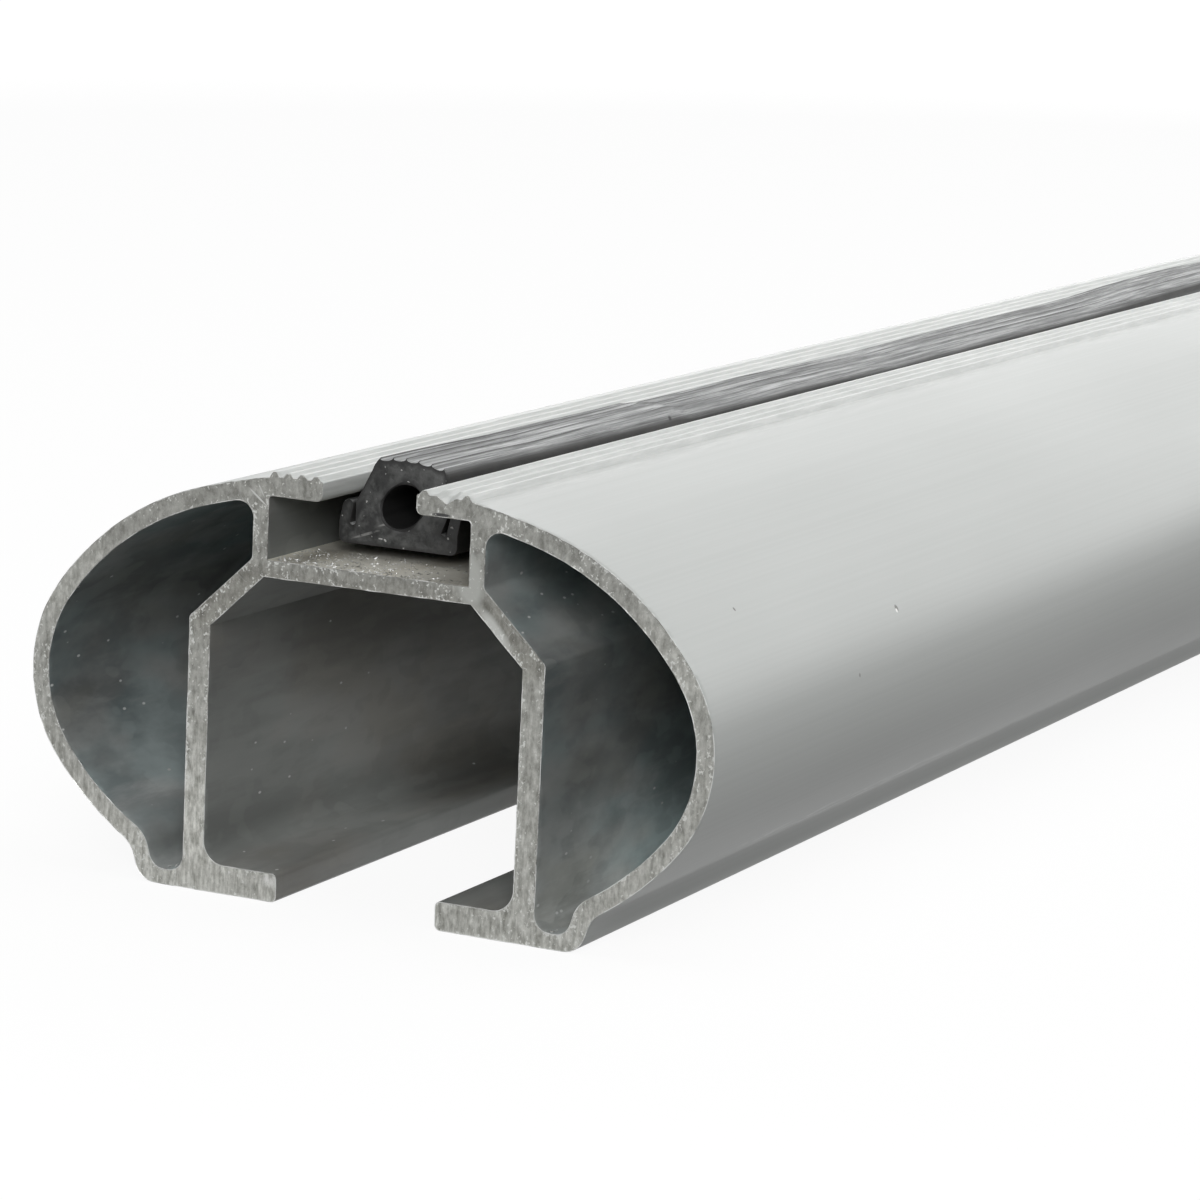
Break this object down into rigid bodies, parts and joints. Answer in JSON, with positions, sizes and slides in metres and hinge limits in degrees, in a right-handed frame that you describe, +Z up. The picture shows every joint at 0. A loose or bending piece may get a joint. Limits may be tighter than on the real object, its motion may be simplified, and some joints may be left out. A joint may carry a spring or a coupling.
{
  "type": "roof rack crossbar",
  "caption": "Aerofoil-section aluminium roof rack crossbar, cut square at its ends, with a rubber strip in the T-slot along its top and an open channel along its underside.",
  "frame": {"origin": "under the middle of the bar, on the plane of its two feet", "axes": "+X across the bar, along the vehicle; +Y along the bar, away from the end that the picture shows; +Z up, out of the T-slot"},
  "size_m": [0.08, 1.2, 0.0472],
  "materials": {
    "aluminium": "satin, as extruded, with sawn ends",
    "rubber": "matt, dusty"
  },
  "bodies": {
    "root": {"bar_extrusion": "aluminium", "slot_strip": "rubber"}
  },
  "joints": []
}
